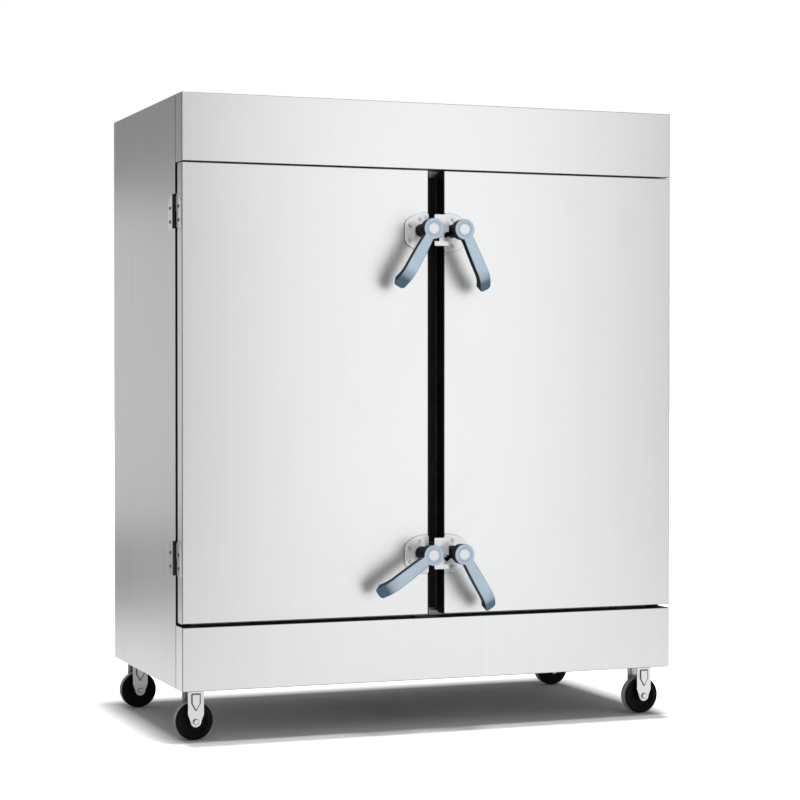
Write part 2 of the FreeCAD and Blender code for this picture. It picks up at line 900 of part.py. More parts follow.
def door_gasket():
    """Four rubber strips around the door's inner face, butted at the corners."""
    x0, x1, z0, z1 = seal_bounds()
    half = gasket_width / 2
    section = bulb_face(gasket_width, seal_gap - seal_clearance)
    strips = []
    for x in (x0, x1):
        upright = section.extrude(Z * (z1 - z0 + gasket_width))
        upright.translate(at(x, door_thickness, z0 - half))
        strips.append(upright)
    for z in (z0, z1):
        level = turned(section, at(0, 0, 0), Y, 90)
        level = level.extrude(X * (x1 - x0 - gasket_width))
        level.translate(at(x0 + half, door_thickness, z))
        strips.append(level)
    return group(strips)


def door_edge_strip():
    """Black rubber along the door's inner edge."""
    x1 = -door_inner
    strip = block(x1 - edge_strip, x1, 0, door_thickness, door_bottom, door_top)
    folds = [edge for edge in strip.Edges
             if abs(edge.tangentAt(0).z) > 0.9 and edge.BoundBox.XMax > x1 - 0.01]
    return strip.makeFillet(edge_strip * 0.6, folds)


# Hinges

def hinge_axis():
    return at(-half_width - hinge_out, door_thickness + hinge_behind_door, 0)


def hinge_heights():
    return body_bottom + lower_hinge, body_top - upper_hinge_drop


def leaf(inner_y, outer_y, z0, z1):
    """A leaf on the side of the cabinet, its top arched down to the edge away from the knuckles."""
    plate = block(-half_width - leaf_sheet, -half_width, min(inner_y, outer_y), max(inner_y, outer_y),
                  z0, z1)
    for radius, y, z in ((leaf_arch, outer_y, z1), (leaf_corner, outer_y, z0),
                         (leaf_corner, inner_y, z0), (leaf_corner, inner_y, z1)):
        corner = [edge for edge in plate.Edges if abs(edge.tangentAt(0).x) > 0.9
                  and abs(edge.CenterOfMass.y - y) < 0.01 and abs(edge.CenterOfMass.z - z) < 0.01]
        plate = plate.makeFillet(radius, corner)
    return plate


def knuckle(z0, z1):
    axis = hinge_axis()
    barrel = rod(knuckle_radius, at(axis.x, axis.y, z0), Z, z1 - z0)
    x0 = -half_width - leaf_sheet
    return barrel, x0


def hinge_frame_leaf(z0):
    """The leaf on the side panel, with the lower knuckle and the pin's seat."""
    middle = z0 + hinge_height / 2
    axis = hinge_axis()
    front = frame_face + 2 * sheet
    plate = leaf(front, front + frame_leaf_width, z0, z0 + hinge_height)
    barrel, x0 = knuckle(z0, middle - joint_gap)
    neck = block(x0, -half_width, axis.y, front + leaf_corner * 2, z0 + leaf_corner,
                 middle - joint_gap)
    whole = fuse([plate, barrel, neck])
    return whole.cut(rod(pin_radius, at(axis.x, axis.y, z0 + leaf_sheet), Z, hinge_height))


def hinge_pin(z0):
    axis = hinge_axis()
    return rod(pin_radius, at(axis.x, axis.y, z0 + leaf_sheet), Z, hinge_height - 2 * leaf_sheet)


def hinge_door_leaf(z0):
    """The leaf on the door's edge, with the upper knuckle that lifts off the pin."""
    middle = z0 + hinge_height / 2
    axis = hinge_axis()
    back = door_thickness - sheet
    plate = leaf(back, back - door_leaf_width, z0, z0 + hinge_height)
    barrel, x0 = knuckle(middle, z0 + hinge_height)
    rim = [edge for edge in barrel.Edges if edge.Closed and edge.BoundBox.ZMin > middle + 1]
    barrel = barrel.makeFillet(knuckle_radius * 0.4, rim)
    neck = block(x0, -half_width, back - leaf_corner * 2, axis.y, middle,
                 z0 + hinge_height - leaf_corner)
    whole = fuse([plate, barrel, neck])
    seat = rod(pin_radius + running, at(axis.x, axis.y, z0), Z, hinge_height - leaf_sheet)
    return whole.cut(seat)


def leaf_screws(y, z0):
    x = -half_width - leaf_sheet
    return [screw(at(x, y, z0 + share * hinge_height), X * -1) for share in (0.22, 0.62)]


def hinge_frame_leaves():
    parts = []
    y = frame_face + 2 * sheet + frame_leaf_width * 0.6
    for z0 in hinge_heights():
        parts.extend([hinge_frame_leaf(z0), hinge_pin(z0)])
        parts.extend(leaf_screws(y, z0))
    return group([side(part, sign) for sign in (-1, 1) for part in parts])


def hinge_door_leaves():
    parts = []
    y = door_thickness - sheet - door_leaf_width * 0.6
    for z0 in hinge_heights():
        parts.append(hinge_door_leaf(z0))
        parts.extend(leaf_screws(y, z0))
    return group(parts)


# Latches

def latch_plate(z):
    """A D-shaped plate with a collar and the spindle that the handle turns on."""
    corner = latch_plate_corner
    tall = latch_plate_height / 2
    width = latch_plate_width
    top = at(-corner, 0, tall)
    shoulder = at(-width * 0.81, 0, tall * 0.70)
    outer = at(-width, 0, tall * 0.29)
    cut = corner * (1 - math.sqrt(0.5))
    upper = [Part.Arc(at(0, 0, tall - corner), at(-cut, 0, tall - cut), top).toShape(),
             Part.Arc(top, at(-width * 0.49, 0, tall * 0.93), shoulder).toShape(),
             Part.Arc(shoulder, at(-width * 0.95, 0, tall * 0.53), outer).toShape()]
    lower = [edge.mirror(at(0, 0, 0), Z) for edge in upper]
    ends = [Part.LineSegment(outer, at(outer.x, 0, -outer.z)).toShape(),
            Part.LineSegment(at(0, 0, corner - tall), at(0, 0, tall - corner)).toShape()]
    face = Part.Face(Part.Wire(Part.sortEdges(upper + lower + ends)[0]))
    plate = face.extrude(Y * -latch_plate_sheet)
    rim = [edge for edge in plate.Edges if edge.BoundBox.YMax < -latch_plate_sheet + 0.01]
    plate = plate.makeFillet(latch_plate_sheet / 3, rim)
    plate.translate(at(-door_inner - joint_gap, 0, -latch_plate_drop))
    axis = at(-latch_axis, 0, 0)
    collar = rod(collar_radius, axis, Y * -1, latch_plate_sheet + collar_height)
    spindle = rod(spindle_radius, axis, Y * -1, head_back - hub_back)
    plate = fuse([plate, collar, spindle])
    plate.translate(Z * z)
    return plate


def latch_plate_screws(z):
    inner = -door_inner - joint_gap
    middle = z - latch_plate_drop
    half = latch_plate_height / 2
    places = [(latch_plate_width * 0.36, half * 0.68), (latch_plate_width * 0.77, half * 0.36)]
    return [screw(at(inner - inset, -latch_plate_sheet, middle + turn * rise), Y * -1)
            for inset, rise in places for turn in (-1, 1)]


def latch_plates():
    parts = []
    for z in latch_heights().values():
        parts.append(latch_plate(z))
        parts.extend(latch_plate_screws(z))
    return group(parts)


def hub():
    """The hub behind a head, turning on the y axis, and the tongue on it that points to the door gap."""
    rim = head_back - hub_rim
    neck_end = at(hub_radius, -hub_neck, 0)
    rim_start = at(hub_flare_radius, -rim, 0)
    halfway = (neck_end + rim_start) * 0.5 + at(-hub_rim * 0.15, -hub_rim * 0.1, 0)
    points = [at(0, -head_back, 0), at(0, -hub_back, 0), at(hub_radius, -hub_back, 0), neck_end]
    edges = [Part.LineSegment(first, second).toShape() for first, second in zip(points, points[1:])]
    edges.append(Part.Arc(neck_end, halfway, rim_start).toShape())
    points = [rim_start, at(hub_flare_radius, -head_back, 0), at(0, -head_back, 0)]
    edges += [Part.LineSegment(first, second).toShape() for first, second in zip(points, points[1:])]
    body = Part.Face(Part.Wire(edges)).revolve(at(0, 0, 0), Y, 360)
    tongue_front = keeper_front - keeper_sheet - tongue_clearance
    half = math.radians(tongue_half_degrees)
    tip = at(tongue_reach, 0, 0)
    start = at(tongue_reach * math.cos(half), 0, -tongue_reach * math.sin(half))
    end = at(start.x, 0, -start.z)
    edges = [Part.LineSegment(at(0, 0, 0), start).toShape(),
             Part.Arc(start, tip, end).toShape(),
             Part.LineSegment(end, at(0, 0, 0)).toShape()]
    tongue = Part.Face(Part.Wire(edges)).extrude(Y * tongue_thickness)
    tongue.translate(Y * -tongue_front)
    tongue = tongue.cut(rod(hub_radius, at(0, 0, 0), Y * -1, head_back))
    bore = rod(spindle_radius + running, at(0, 0, 0), Y * -1, head_back - hub_back + joint_gap)
    return group([body.cut(bore), tongue])


def lever_outline(reach):
    """The lever seen from the front: it widens in a slight curve from the head to the bend."""
    neck = lever_neck / 2
    wide = lever_width / 2
    half_way = wide - (wide - neck) / 4
    start = at(neck, 0, 0)
    bend = at(wide, 0, -lever_straight)
    corner = at(wide, 0, -reach)
    edges = [Part.Arc(start, at(half_way, 0, -lever_straight / 2), bend).toShape(),
             Part.LineSegment(bend, corner).toShape()]
    edges += [edge.mirror(at(0, 0, 0), X) for edge in edges]
    edges.append(Part.LineSegment(corner, at(-wide, 0, -reach)).toShape())
    edges.append(Part.LineSegment(start, at(-neck, 0, 0)).toShape())
    face = Part.Face(Part.Wire(Part.sortEdges(edges)[0]))
    return face.extrude(Y * -head_front)


def lever_profile():
    """The lever seen from the side, straight and then bent back to the door, and its reach."""
    angle = math.radians(lever_bend_degrees)
    centre_y = lever_bend_radius - head_front
    inner_radius = lever_bend_radius - lever_thickness

    def on_bend(radius, turn):
        return at(0, centre_y - radius * math.cos(turn), -lever_straight - radius * math.sin(turn))

    run = at(0, math.sin(angle), -math.cos(angle)) * lever_end
    outer_end = on_bend(lever_bend_radius, angle)
    inner_end = on_bend(inner_radius, angle)
    top_outer = at(0, -head_front, 0)
    top_inner = at(0, -head_back, 0)
    edges = [Part.LineSegment(top_outer, on_bend(lever_bend_radius, 0)).toShape(),
             Part.Arc(on_bend(lever_bend_radius, 0), on_bend(lever_bend_radius, angle / 2),
                      outer_end).toShape(),
             Part.LineSegment(outer_end, outer_end + run).toShape(),
             Part.LineSegment(outer_end + run, inner_end + run).toShape(),
             Part.LineSegment(inner_end + run, inner_end).toShape(),
             Part.Arc(inner_end, on_bend(inner_radius, angle / 2), on_bend(inner_radius, 0)).toShape(),
             Part.LineSegment(on_bend(inner_radius, 0), top_inner).toShape(),
             Part.LineSegment(top_inner, top_outer).toShape()]
    face = Part.Face(Part.Wire(edges))
    face.translate(X * -lever_width)
    return face.extrude(X * (2 * lever_width)), -(outer_end + run).z


def middle_of(edge):
    return edge.valueAt((edge.FirstParameter + edge.LastParameter) / 2)


def lever_tip_edges(bar, reach):
    """The two short edges at the sides of the lever's tip."""
    wide = lever_width / 2
    found = []
    for edge in bar.Edges:
        middle = middle_of(edge)
        at_side = abs(abs(middle.x) - wide) < 0.01
        at_tip = -middle.z > reach - lever_thickness and abs(edge.tangentAt(0).z) > 0.1
        if at_side and at_tip and abs(edge.Length - lever_thickness) < 0.01:
            found.append(edge)
    return found


def lever_front_edges(bar, reach):
    """The edges along the sides and the tip of the lever's front skin."""
    found = []
    for edge in bar.Edges:
        middle = middle_of(edge)
        across = abs(edge.tangentAt(edge.FirstParameter).x) > 0.99 and abs(middle.x) < 0.01
        if on_front_skin(middle) and (not across or abs(middle.z + reach) < 0.01):
            found.append(edge)
    return found


def on_front_skin(point):
    """Whether a point lies on the lever's front skin, on its straight part, bend or end."""
    angle = math.radians(lever_bend_degrees)
    y = point.y + head_front - lever_bend_radius
    z = -point.z - lever_straight
    turn = min(max(math.atan2(z, -y), 0), angle)
    offset = -y * math.cos(turn) + z * math.sin(turn) - lever_bend_radius
    return abs(offset) < 0.01


def lever():
    """The round head with its ringed cap, and the lever that hangs from it."""
    profile, reach = lever_profile()
    bar = profile.common(lever_outline(reach))
    bar = bar.makeFillet(lever_width / 3, lever_tip_edges(bar, reach))
    bar = bar.makeFillet(lever_round, lever_front_edges(bar, reach))
    head = rod(head_radius, at(0, -head_back, 0), Y * -1, lever_thickness)
    rim = [edge for edge in head.Edges if edge.Closed and abs(middle_of(edge).y + head_front) < 0.01]
    whole = fuse([head.makeFillet(head_round, rim), bar])
    front = at(0, -head_front, 0)
    groove = pipe(cap_groove_radius, cap_groove, front, Y, cap_depth)
    recess = rod(cap_radius, front, Y, cap_depth / 2)
    return whole.cut(groove).cut(recess)


def handle_pieces(name):
    """A handle's hub and lever at rest, on the left or right door."""
    level, hand = name.split("_")
    place = at(-latch_axis, 0, latch_heights()[level])
    pieces = []
    for shape in (hub(), lever()):
        piece = turned(shape, at(0, 0, 0), Y, lever_rest[name])
        piece.translate(place)
        pieces.append(side(piece, -1 if hand == "left" else 1))
    return pieces


def latch_keepers():
    """The plates in front of the door gap, each welded on a stem from the post."""
    parts = []
    half = keeper_width / 2
    tall = keeper_height / 2
    web = notch_web / 2
    back = -keeper_front + keeper_sheet
    for z in latch_heights().values():
        plate = block(-half, half, -keeper_front, back, z - tall, z + tall)
        corners = [edge for edge in plate.Edges if abs(edge.tangentAt(0).y) > 0.9]
        plate = plate.makeFillet(keeper_sheet, corners)
        for sign in (-1, 1):
            outer = sign * (half + 1)
            inner = sign * web
            plate = plate.cut(block(min(outer, inner), max(outer, inner), -keeper_front, back,
                                    z - notch_bottom, z - notch_top))
        stem = block(-keeper_stem_width / 2, keeper_stem_width / 2, back, frame_face,
                     z - keeper_stem_height / 2, z + keeper_stem_height / 2)
        parts.append(fuse([plate, stem]))
    return group(parts)


# Casters

def leg_face():
    """A fork leg seen from the front: straight, then drawn in to a round tip at the axle."""
    half = leg_width / 2
    top = caster_height - leg_sheet
    knee = caster_height - leg_straight
    axle = wheel_radius
    reach = math.hypot(half, knee - axle)
    lean = math.atan2(knee - axle, half) - math.asin(leg_tip_radius / reach) + math.pi / 2
    tangent = at(leg_tip_radius * math.sin(lean), 0, axle - leg_tip_radius * math.cos(lean))
    if tangent.z > axle:
        tangent = at(leg_tip_radius, 0, axle)
    other = at(-tangent.x, 0, tangent.z)
    points = [tangent, at(half, 0, knee), at(half, 0, top), at(-half, 0, top),
              at(-half, 0, knee), other]
    edges = [Part.LineSegment(first, second).toShape() for first, second in zip(points, points[1:])]
    edges.append(Part.Arc(other, at(0, 0, axle - leg_tip_radius), tangent).toShape())
    return Part.Face(Part.Wire(edges))


def teardrop():
    """The raised shield on a leg: a flat top with round corners, and sides that draw in to a point."""
    half = teardrop_width / 2
    top = caster_height - teardrop_drop
    bottom = top - teardrop_height
    corner = teardrop_corner
    bulge = corner * (1 - math.sqrt(0.5))
    shoulder = bottom + teardrop_height * 0.45
    points = [at(half, 0, top - corner), at(half, 0, shoulder), at(0, 0, bottom),
              at(-half, 0, shoulder), at(-half, 0, top - corner)]
    edges = [Part.LineSegment(first, second).toShape() for first, second in zip(points, points[1:])]
    edges.append(Part.Arc(points[-1], at(bulge - half, 0, top - bulge), at(corner - half, 0, top)).toShape())
    edges.append(Part.LineSegment(at(corner - half, 0, top), at(half - corner, 0, top)).toShape())
    edges.append(Part.Arc(at(half - corner, 0, top), at(half - bulge, 0, top - bulge), points[0]).toShape())
    return Part.Face(Part.Wire(edges))


def caster_fork():
    """A stamped fork for a caster at x = 0, y = 0: top plate, two legs and their raised shields."""
    inner = wheel_width / 2 + leg_gap
    outer = inner + leg_sheet
    plate = block(-plate_length / 2, plate_length / 2, -plate_width / 2, plate_width / 2,
                  caster_height - leg_sheet, caster_height)
    corners = [edge for edge in plate.Edges if abs(edge.tangentAt(0).z) > 0.9]
    parts = [plate.makeFillet(plate_corner, corners)]
    for sign in (-1, 1):
        leg = leg_face().extrude(Y * leg_sheet)
        leg.translate(Y * (inner if sign > 0 else -outer))
        shield = teardrop().extrude(Y * teardrop_raise)
        shield.translate(Y * (outer if sign > 0 else -outer - teardrop_raise))
        parts.extend([leg, shield])
    whole = fuse(parts)
    return whole.cut(rod(axle_radius + running, at(0, -plate_width, wheel_radius), Y,
                         2 * plate_width))


def caster_hardware():
    """The axle with its round heads, and four bolts in the top plate."""
    outer = wheel_width / 2 + leg_gap + leg_sheet
    centre = at(0, -outer, wheel_radius)
    axle = rod(axle_radius, centre, Y, 2 * outer)
    head = screw_radius * 1.7
    dome = rod(head, centre, Y * -1, 2 * leg_sheet)
    dome = dome.makeFillet(leg_sheet, [edge for edge in dome.Edges
                                       if edge.Closed and edge.BoundBox.YMax < -outer - leg_sheet])
    parts = [fuse([axle, dome, dome.mirror(at(0, 0, 0), Y)])]
    for x in (-1, 1):
        for y in (-1, 1):
            place = at(x * (plate_length / 2 - bolt_radius - leg_sheet),
                       y * (wheel_width / 2 + leg_gap - bolt_radius - leg_sheet),
                       caster_height - leg_sheet)
            parts.append(screw(place, Z * -1, bolt_radius, bolt_height))
    return group(parts)


def caster_wheel():
    """A tyre on its core, which runs on the axle."""
    half = wheel_width / 2
    start = at(0, -half, wheel_radius)
    tyre = rod(wheel_radius, start, Y, wheel_width)
    tyre = tyre.makeFillet(wheel_width / 6, [edge for edge in tyre.Edges if edge.Closed])
    tyre = tyre.cut(rod(core_radius, start, Y, wheel_width))
    dish = wheel_width / 8
    core = rod(core_radius, start + Y * dish, Y, wheel_width - 2 * dish)
    hub_length = wheel_width + 2 * (leg_gap - hub_play)
    boss = rod(core_radius * 0.4, at(0, -hub_length / 2, wheel_radius), Y, hub_length)
    core = fuse([core, boss])
    for sign in (-1, 1):
        face = at(0, sign * (half - dish), wheel_radius)
        core = core.cut(pipe(core_radius * 0.86, core_radius * 0.3, face, Y * -sign, dish))
    core = core.cut(rod(axle_radius + running, at(0, -wheel_width, wheel_radius), Y,
                        2 * wheel_width))
    return group([tyre, core])


def at_caster(shape, x, y):
    copy = shape.copy()
    copy.translate(at(x, y, 0))
    return copy


# Screws on the cabinet

def cabinet_screws():
    """Screws in the keepers, around the back panel and in the terminal box's cover."""
    heads = []
    for z in latch_heights().values():
        for rise in (-1, 1):
            heads.append(screw(at(0, -keeper_front, z + rise * keeper_stem_height * 0.3), Y * -1))
    inset = half_width - hem
    rows = 6
    for number in range(rows):
        share = number / (rows - 1)
        z = body_bottom + hem + share * (body_height - 2 * hem)
        for sign in (-1, 1):
            heads.append(screw(at(sign * inset, cabinet_depth, z), Y))
    x0, x1, y0, y1, z0, z1 = box_bounds()
    for x in (x0 + hem / 2, x1 - hem / 2):
        for z in (z0 + hem / 2, z1 - hem / 2):
            heads.append(screw(at(x, y1 + sheet, z), Y, screw_radius, screw_height))
    return group(heads)


def build():
    nodes = {
        "left_side_panel": side_panel(-1),
        "right_side_panel": side_panel(1),
        "back_panel": back_panel(),
        "roof_panel": roof_panel(),
        "top_fascia": top_fascia(),
        "bottom_fascia": bottom_fascia(),
        "base_frame": base_frame(),
        "frame_rails": frame_rails(),
        "centre_post": centre_post(),
        "post_strip": post_strip(),
        "chamber_liners": chamber_liners(),
        "wall_insulation": wall_insulation(),
        "tray_racks": tray_racks(),
        "trays": trays(),
        "water_tanks": water_tanks(),
        "steam_plates": steam_plates(),
        "heating_elements": heating_elements(),
        "feed_box": feed_box(),
        "float_valve": float_valve(),
        "float_arm": float_arm(),
        "balance_pipes": balance_pipes(),
        "drain_valve": drain_valve(),
        "drain_lever": drain_lever(),
        "steam_vents": steam_vents(),
        "terminal_box": terminal_box(),
        "terminal_cover": terminal_cover(),
        "terminal_block": terminal_block(),
        "cable_gland": cable_gland(),
        "latch_keepers": latch_keepers(),
        "hinge_frame_leaves": hinge_frame_leaves(),
        "cabinet_screws": cabinet_screws(),
    }
    door_nodes = {"door_skin": door_skin(), "door_liner": door_liner(),
                  "door_insulation": door_insulation(), "door_gasket": door_gasket(),
                  "door_edge_strip": door_edge_strip(), "door_hinge_leaves": hinge_door_leaves(),
                  "latch_plates": latch_plates()}
    for hand, sign in (("left", -1), ("right", 1)):
        for name, shape in door_nodes.items():
            nodes[hand + "_" + name] = side(shape, sign)
    for name in lever_rest:
        hub_piece, lever_piece = handle_pieces(name)
        nodes[name + "_hub"] = hub_piece
        nodes[name + "_lever"] = lever_piece
    places = caster_places()
    nodes["caster_forks"] = group([at_caster(caster_fork(), x, y) for name, x, y in places])
    nodes["caster_hardware"] = group([at_caster(caster_hardware(), x, y) for name, x, y in places])
    for name, x, y in places:
        nodes[name + "_wheel"] = at_caster(caster_wheel(), x, y)
    return nodes


def main():
    os.makedirs("parts", exist_ok=True)
    for name, shape in build().items():
        shape = shape.copy()
        shape.translate(SHIFT)
        shape.exportStep("parts/" + name + ".step")


main()
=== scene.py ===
import bpy
import bmesh
import json
import math
from mathutils import Matrix, Vector


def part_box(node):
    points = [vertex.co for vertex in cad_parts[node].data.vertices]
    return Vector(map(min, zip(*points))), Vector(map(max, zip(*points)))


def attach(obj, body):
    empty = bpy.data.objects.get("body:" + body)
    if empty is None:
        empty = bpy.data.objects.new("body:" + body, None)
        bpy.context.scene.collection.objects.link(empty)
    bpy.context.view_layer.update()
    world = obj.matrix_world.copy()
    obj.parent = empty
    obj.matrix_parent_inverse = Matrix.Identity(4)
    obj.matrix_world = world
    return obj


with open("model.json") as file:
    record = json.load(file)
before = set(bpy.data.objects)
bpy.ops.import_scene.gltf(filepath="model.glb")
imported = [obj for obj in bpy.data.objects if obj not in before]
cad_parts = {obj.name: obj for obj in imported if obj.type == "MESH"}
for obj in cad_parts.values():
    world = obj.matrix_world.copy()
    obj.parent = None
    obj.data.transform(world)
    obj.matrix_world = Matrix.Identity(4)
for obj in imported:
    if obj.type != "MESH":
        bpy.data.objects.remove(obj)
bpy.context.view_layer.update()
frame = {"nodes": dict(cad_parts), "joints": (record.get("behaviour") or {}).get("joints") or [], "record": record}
nodes = frame["nodes"]

HANDLES = ("upper_left", "upper_right", "lower_left", "lower_right")

# Bare discs in the caps of the lever heads, in metres like all sizes here
BADGE_RADIUS = 0.0137
BADGE_EDGE = 0.00015
BADGE_DOME = 0.0002
BADGE_SEAT_DEPTH = 0.0004

# Casters: the raised shield on a fork, outlined in painted shade, the tread and the turned core of a wheel
CASTER_X = 0.640
SHIELD_TOP = 0.121
SHIELD_FOOT = 0.078
SHIELD_TAPER = 0.0194
SHIELD_HALF_WIDTH = 0.011
SHIELD_LINE = (0.0006, 0.0030)
SHIELD_FADE = 0.002
SHIELD_TOP_ENDS = (0.010, 0.013)
TREAD_RADII = (0.0485, 0.0498)
TREAD_SIDES = (0.010, 0.014)
CORE_RIM = (0.034, 0.036)
RINGS_PER_METRE = 2600.0

# Hinges: the knuckles, the band of painted shade on both sides of their pin, and how far out screw heads begin
KNUCKLE_RADIUS = 0.0055
SHADE_BAND_SIDES = (0.0085, 0.0095)
SCREW_HEADS_X = (0.6932, 0.6936)

# Depths below the lower fascia's top between which its black strip of painted shade, for the gap under the doors,
# begins
GAP_SHADE_DEPTHS = (0.0022, 0.0012)

# Base frame: where its long tubes are welded, and how fast the heat tint fades, per metre
FRONT_WELD_Y = -0.245
REAR_WELD_Y = 0.327
WELD_TINT_FADE = 26.0

# Studio: the floor carries a painted shadow under the object, its white begins round that shadow, and walls are
# grey in reflections
SHADOW_HALF_WIDTH = 0.66
SHADOW_HALF_DEPTH = 0.375
SHADOW_MIDDLE_Y = 0.005
SHADOW_REACH = 0.03
SHADOW_END = 0.15
FLOOR_REACH = 40.0
FLOOR_DROP = 0.0005
FLOOR_WHITE = (0.98, 0.98, 0.98)
PURE_WHITE = (1.0, 1.0, 1.0, 1.0)
WALL_RADIUS = 2.6
WALL_HEIGHT = 9.0
WALL_STEPS = 24
WALL_LEVEL = 0.28

# Camera: angles in degrees, and the focal length in pixels of the photograph's frame
CAMERA_PLACE = (-2.118, -5.6855, 0.941)
CAMERA_YAW = 20.71
CAMERA_PITCH = 0.69
FRAME_WIDTH_PIXELS = 800.0
FOCAL_LENGTH_PIXELS = 2176.0
SENSOR_WIDTH_MM = 36.0


class Value:
    """A node's output. Arithmetic on it adds Math nodes."""

    def __init__(self, tree, socket):
        self.tree = tree
        self.socket = socket

    def math(self, operation, first, second=0.0, clamp=False):
        settings = {"operation": operation, "use_clamp": clamp}
        return self.tree.add("ShaderNodeMath", settings, {0: first, 1: second})

    def __add__(self, other):
        return self.math("ADD", self, other)

    def __radd__(self, other):
        return self.math("ADD", other, self)

    def __sub__(self, other):
        return self.math("SUBTRACT", self, other)

    def __rsub__(self, other):
        return self.math("SUBTRACT", other, self)

    def __mul__(self, other):
        return self.math("MULTIPLY", self, other)

    def __rmul__(self, other):
        return self.math("MULTIPLY", other, self)

    def __truediv__(self, other):
        return self.math("DIVIDE", self, other)

    def __neg__(self):
        return self.math("MULTIPLY", self, -1.0)

    def __pow__(self, other):
        return self.math("POWER", self, other)

    def __abs__(self):
        return self.math("ABSOLUTE", self)

    def clamped(self):
        return self.math("ADD", self, 0.0, clamp=True)

    def least(self, other):
        return self.math("MINIMUM", self, other)

    def most(self, other):
        return self.math("MAXIMUM", self, other)

    def wave(self):
        return self.math("SINE", self)

    def rise(self, low, high):
        """0 below low, 1 above high, smooth between."""
        return self.tree.add("ShaderNodeMapRange", {"interpolation_type": "SMOOTHSTEP"},
                             {"Value": self, "From Min": low, "From Max": high})

    def output(self, name):
        return Value(self.tree, self.socket.node.outputs[name])


class Tree:
    """The shader nodes of a material or of the world."""

    def __init__(self, owner):
        owner.use_nodes = True
        self.nodes = owner.node_tree.nodes
        self.links = owner.node_tree.links
        self.nodes.clear()

    def add(self, kind, settings=None, inputs=None):
        """A node of a kind, its settings first, then the values or links of its sockets."""
        node = self.nodes.new(kind)
        for name, value in (settings or {}).items():
            if name == "stops":
                self.set_stops(node.color_ramp, value)
            else:
                setattr(node, name, value)
        for name, value in (inputs or {}).items():
            if isinstance(value, Value):
                self.links.new(value.socket, node.inputs[name])
            else:
                node.inputs[name].default_value = value
        return Value(self, node.outputs[0]) if node.outputs else node

    def set_stops(self, ramp, stops):
        while len(ramp.elements) < len(stops):
            ramp.elements.new(1.0)
        for element, (place, colour) in zip(ramp.elements, stops):
            element.position = place
            element.color = (*colour, 1.0)

    def rays(self):
        """1 for what the camera sees itself, and 1 for what it sees in or through a surface."""
        path = self.add("ShaderNodeLightPath")
        mirrored = path.output("Is Glossy Ray").most(path.output("Is Transmission Ray"))
        return path.output("Is Camera Ray"), mirrored

    def place(self):
        """The point's own place on the piece, in metres, wherever the piece has moved to."""
        return self.add("ShaderNodeTexCoord").output("Object")

    def facing(self):
        """The piece's own surface direction."""
        return self.add("ShaderNodeTexCoord").output("Normal")

    def axes(self, vector):
        """A vector's x, y and z."""
        parts = self.add("ShaderNodeSeparateXYZ", None, {0: vector})
        return [parts.output(name) for name in "XYZ"]

    def scaled(self, vector, factors):
        return self.add("ShaderNodeVectorMath", {"operation": "MULTIPLY"}, {0: vector, 1: factors})

    def moved(self, vector, offset):
        return self.add("ShaderNodeVectorMath", {"operation": "ADD"}, {0: vector, 1: offset})

    def tone(self, colour, amount):
        """A colour made lighter or darker by an amount."""
        return self.add("ShaderNodeVectorMath", {"operation": "SCALE"}, {0: colour, "Scale": amount})

    def mixed(self, amount, first, second):
        """first where amount is 0, second where it is 1."""
        colours = [c if isinstance(c, Value) else (*c, 1.0) for c in (first, second)]
        mix = self.add("ShaderNodeMix", {"data_type": "RGBA"},
                       {0: amount, 6: colours[0], 7: colours[1]})
        return Value(self, mix.socket.node.outputs[2])

    def noise(self, vector, stretch, detail=2.0, sharp=0.5):
        """Noise from 0 to 1 with a number of cells per metre along each axis.
        detail is the number of finer layers, and sharp is how strong they are."""
        if not isinstance(stretch, tuple):
            stretch = (stretch,) * 3
        settings = {"noise_dimensions": "3D"}
        inputs = {"Vector": self.scaled(vector, stretch), "Scale": 1.0, "Detail": detail,
                  "Roughness": sharp}
        return self.add("ShaderNodeTexNoise", settings, inputs)

    def cells(self, vector, per_metre):
        """Distance from the middle of the nearest cell."""
        return self.add("ShaderNodeTexVoronoi", {"feature": "F1"},
                        {"Vector": self.scaled(vector, (per_metre,) * 3), "Scale": 1.0})

    def bump(self, height, strength, distance):
        return self.add("ShaderNodeBump", None,
                        {"Strength": strength, "Distance": distance, "Height": height})

    def surface(self, **inputs):
        """The material's shader; underscores in the names stand for spaces."""
        named = {name.replace("_", " "): value for name, value in inputs.items()}
        shader = self.add("ShaderNodeBsdfPrincipled", None, named)
        self.add("ShaderNodeOutputMaterial", None, {"Surface": shader})


def start(name):
    """A new material and its empty tree."""
    material = bpy.data.materials.new(name)
    return material, Tree(material)


# Finishes of the object

def folds(tree):
    """1 on the rounded folds of a sheet, 0 on its flats."""
    turned = [abs(axis) for axis in tree.axes(tree.facing())]
    return 1.0 - turned[0].most(turned[1]).most(turned[2]).rise(0.90, 0.9995)


